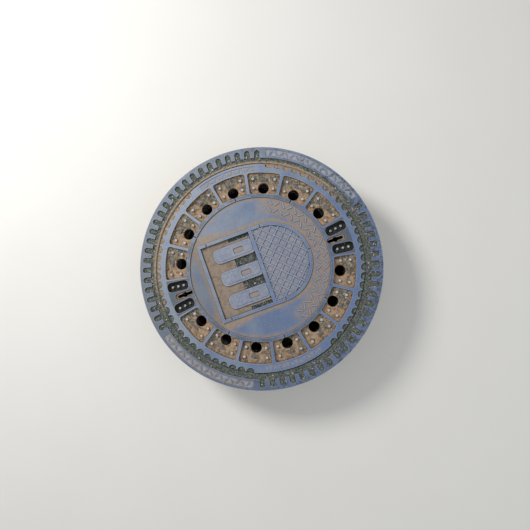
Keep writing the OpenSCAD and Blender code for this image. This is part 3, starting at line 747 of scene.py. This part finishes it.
def stone_shapes(random, count):
    """Corner points and triangles of a few angular stones of unit size."""
    shapes = []
    for _ in range(count):
        bm = bmesh.new()
        for _ in range(STONE_POINTS):
            p = Vector(random.normal(size=3)).normalized() * random.uniform(0.8, 1.0)
            bm.verts.new((p.x, p.y, p.z * 0.75))
        hull = bmesh.ops.convex_hull(bm, input=bm.verts[:])
        inner = set(hull["geom_interior"]) | set(hull["geom_unused"])
        bmesh.ops.delete(bm, geom=[v for v in inner if isinstance(v, bmesh.types.BMVert)], context="VERTS")
        bm.verts.index_update()
        points = np.array([v.co[:] for v in bm.verts])
        shapes.append((points, np.array([[v.index for v in f.verts] for f in bm.faces])))
        bm.free()
    return shapes


def scatter_stones(name, seed, count, spot, sizes, top_z):
    """Angular stones in one piece. spot(random) gives a stone's place, or None where no stone may lie."""
    random = np.random.default_rng(seed)
    shapes = stone_shapes(random, STONE_SHAPES)
    points, triangles, tones, base = [], [], [], 0
    while len(points) < count:
        place = spot(random)
        if place is None:
            continue
        size = sizes[0] + (sizes[1] - sizes[0]) * random.random() ** 2.5
        corners, faces = shapes[random.integers(len(shapes))]
        spin = Matrix.Rotation(random.uniform(0, math.tau), 3, "Z")
        tilt = Matrix.Rotation(random.uniform(-0.5, 0.5), 3, "X")
        moved = corners * size / 2 @ np.array(spin @ tilt).T + place
        moved[:, 2] -= max(moved[:, 2].max() - top_z, 0)
        points.append(moved)
        triangles.append(faces + base)
        tones.append(np.full(len(corners), random.random()))
        base += len(corners)
    mesh = bpy.data.meshes.new(name)
    mesh.from_pydata(np.vstack(points).tolist(), [], np.vstack(triangles).tolist())
    mesh.attributes.new("tone", "FLOAT", "POINT").data.foreach_set("value", np.concatenate(tones))
    piece = bpy.data.objects.new(name, mesh)
    bpy.context.scene.collection.objects.link(piece)
    return piece


def ring_spot(r_in, r_out, keep, height):
    """A spot(random) for scatter_stones: places on a flat ring where keep(x, y, margin) holds."""
    def spot(random):
        r, a = math.sqrt(random.uniform(r_in ** 2, r_out ** 2)), random.uniform(0, math.tau)
        x, y = r * math.cos(a), r * math.sin(a)
        return (x, y, height(x, y)) if keep(x, y, -STONE_INSET) else None
    return spot


def bumpy(level, broad, fine, seed):
    """A height(x, y) at a level, with bumps of two sizes, each given as (height, width)."""
    def height(x, y):
        broad_bumps = broad[0] * roughness(x, y, broad[1], seed)
        fine_bumps = fine[0] * roughness(x, y, fine[1], seed + 1)
        return level + broad_bumps + fine_bumps
    return height


def pocket_height(x, y):
    """Dirt lies thickest where rain has washed it, and thin or bare on the far side of each pocket."""
    station = math.radians(STATION * round(azimuth_of(x, y) / STATION))
    dx, dy = x - POCKET_MIDDLE_R * math.cos(station), y - POCKET_MIDDLE_R * math.sin(station)
    washed, _ = turned(dx, dy, WASHED_TO)
    outward = math.hypot(x, y) - POCKET_MIDDLE_R
    level = 0.055 * washed + 0.05 * outward - 0.3 * MM
    bumps = 1.3 * MM * roughness(x, y, 15 * MM, 5) + 0.6 * MM * roughness(x, y, 3.5 * MM, 6)
    return POCKET_FLOOR_Z + level + bumps


def silt_height(x, y):
    """A ring of dirt in the pan, heaped under the vent holes."""
    past_vents = math.hypot(x, y) - VENT_CIRCLE_R
    ring = 15 * MM * math.exp(-(past_vents / (48 * MM)) ** 2)
    under_vent = math.cos(math.radians(azimuth_of(x, y) * STATIONS))
    heaps = 9 * MM * under_vent * math.exp(-(past_vents / (22 * MM)) ** 2)
    bumps = 3.5 * MM * roughness(x, y, 32 * MM, 9) + 1.2 * MM * roughness(x, y, 8 * MM, 10)
    return PAN_FLOOR_Z - 2.5 * MM + ring + heaps + bumps


def in_silt(x, y, margin=0.0):
    return silt_height(x, y) > PAN_FLOOR_Z - 1.2 * MM + margin


def frame_height(x, y):
    """The dirt in the frame's notches, which also lies thinly over the lip at its inner edge."""
    beyond_lip = min(max((math.hypot(x, y) - LIP_R) / (3 * MM), 0), 1)
    bumps = 1.1 * MM * roughness(x, y, 11 * MM, 1) + 0.6 * MM * roughness(x, y, 3.5 * MM, 2)
    return ROAD_Z - 3.4 * MM - 1.0 * MM * beyond_lip + bumps * (0.3 + 0.7 * beyond_lip)


def add_dirt():
    scallop_height = bumpy(ROAD_Z - 4.8 * MM, (0.8 * MM, 8 * MM), (0.5 * MM, 3 * MM), 3)
    side_height = bumpy(ROAD_Z - 12.2 * MM, (1.2 * MM, 12 * MM), (0.7 * MM, 3.5 * MM), 7)
    gap_height = bumpy(ROAD_Z - 9.2 * MM, (1.2 * MM, 10 * MM), (0.7 * MM, 3.5 * MM), 11)
    joint_height = bumpy(ROAD_Z - 6.5 * MM, (1.0 * MM, 9 * MM), (0.4 * MM, 3 * MM), 13)

    def everywhere(x, y):
        return True

    def on_pocket_dirt(x, y, margin):
        return in_pocket(x, y, margin) and pocket_height(x, y) > POCKET_FLOOR_Z - 0.4 * MM

    # Each place is the body that the dirt rides with, where it lies, and its height there
    notches = ("frame", in_frame_grit, frame_height)
    joint = ("frame", everywhere, joint_height)
    scallops = ("cover", in_scallop, scallop_height)
    pockets = ("cover", in_pocket, pocket_height)
    dirty_pockets = ("cover", on_pocket_dirt, pocket_height)
    side_pockets = ("cover", in_side_pocket, side_height)
    shield_gaps = ("cover", in_shield_gap, gap_height)
    pan = ("pan", in_silt, silt_height)

    # Name, place, inner and outer radius, depth of the underside below the road, width of a mesh cell
    layers = (
        ("frame_grit", notches, LIP_R - 3.7 * MM, NOTCH_END_R + 0.6 * MM, 7.4 * MM, 1.6 * MM),
        ("joint_grit", joint, COVER_R + 0.7 * MM, LIP_R - 3.6 * MM, 14 * MM, 0.8 * MM),
        ("scallop_grit", scallops, COVER_R - 14.6 * MM, COVER_R - 0.4 * MM, 7.2 * MM, 1.6 * MM),
        ("pocket_grit", pockets, POCKET_IN_R + 0.4 * MM, POCKET_OUT_R - 0.2 * MM, 13 * MM, 2.0 * MM),
        ("side_pocket_grit", side_pockets, POCKET_IN_R - 2 * MM, POCKET_OUT_R + 1 * MM, 17 * MM, 1.8 * MM),
        ("shield_gap_grit", shield_gaps, 20 * MM, 142 * MM, 13 * MM, 1.8 * MM),
        # Silt in the pan, coloured near black partly as painted shade under the vent holes
        ("pan_silt", pan, 110 * MM, PAN_R - 0.3 * MM, ROAD_Z - PAN_FLOOR_Z + 1.4 * MM, 4 * MM),
    )
    grit = road_grit()
    for name, (body, keep, height), r_in, r_out, depth, cell in layers:
        place_dirt(polar_sheet(name, r_in, r_out, keep, height, ROAD_Z - depth, cell), body, grit)

    # Name, place, count, inner and outer radius, least and greatest size, least depth of their tops
    scatters = (
        ("frame_stones", notches, 2400, LIP_R + 2 * MM, NOTCH_END_R, (2.0, 6.5), 0.3),
        ("scallop_stones", scallops, 380, COVER_R - 13 * MM, COVER_R - 2 * MM, (1.8, 5), 0.3),
        ("pocket_stones", dirty_pockets, 1100, POCKET_IN_R + 3 * MM, POCKET_OUT_R - 2 * MM, (1.8, 5), 1.5),
        ("side_pocket_stones", side_pockets, 150, POCKET_IN_R, POCKET_OUT_R, (1.8, 5), 3),
        ("shield_gap_stones", shield_gaps, 260, 20 * MM, 142 * MM, (2.0, 6), 3),
        ("pan_stones", pan, 700, 130 * MM, PAN_R - 4 * MM, (2.5, 9), 100),
    )
    stones = road_stones()
    for seed, (name, (body, keep, height), count, r_in, r_out, sizes, depth) in enumerate(scatters, 11):
        sizes = (sizes[0] * MM, sizes[1] * MM)
        spot = ring_spot(r_in, r_out, keep, height)
        place_dirt(scatter_stones(name, seed, count, spot, sizes, ROAD_Z - depth * MM), body, stones)


def place_dirt(piece, body, material):
    piece.data.materials.append(material)
    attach(piece, body)


# ---------------------------------------------------------------- CAD nodes with their final looks

def dress(node, material, edge=0.0):
    """Gives a CAD node its material and rounds its sharp edges, as a casting's or a rolled bar's are."""
    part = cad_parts[node]
    part.data.materials.clear()
    part.data.materials.append(material)
    if not edge:
        return
    weld = part.modifiers.new("weld", "WELD")
    weld.merge_threshold = 0.01 * MM
    flat = part.modifiers.new("flat", "DECIMATE")
    flat.decimate_type = "DISSOLVE"
    flat.angle_limit = math.radians(0.6)
    bevel = part.modifiers.new("bevel", "BEVEL")
    bevel.width = edge
    bevel.segments = 2
    bevel.limit_method = "ANGLE"
    bevel.angle_limit = math.radians(38)
    bevel.harden_normals = True


add_camera()
add_studio()

dress("cover", cover_iron(), 0.9 * MM)
dress("frame_head", frame_iron(), 0.9 * MM)
dress("frame_body", concrete(), 1.5 * MM)
steel = mill_steel()
for hidden in ("upper_hoop", "lower_hoop", "hoop_ties"):
    dress(hidden, steel)
dress("damping_ring", elastomer(), 0.5 * MM)
sheet = galvanised("galvanised_sheet", (158, 163, 167))
dress("pan_wall", sheet)
dress("pan_base", sheet)
flat_bar = galvanised("galvanised_bar", (144, 149, 153))
dress("pan_rim", flat_bar, 0.5 * MM)
dress("lifting_strap", flat_bar, 0.6 * MM)
rivet_steel = galvanised("rivet_steel", (176, 179, 181))
dress("rim_rivets", rivet_steel, 0.4 * MM)
dress("strap_rivets", rivet_steel, 0.4 * MM)

add_dirt()
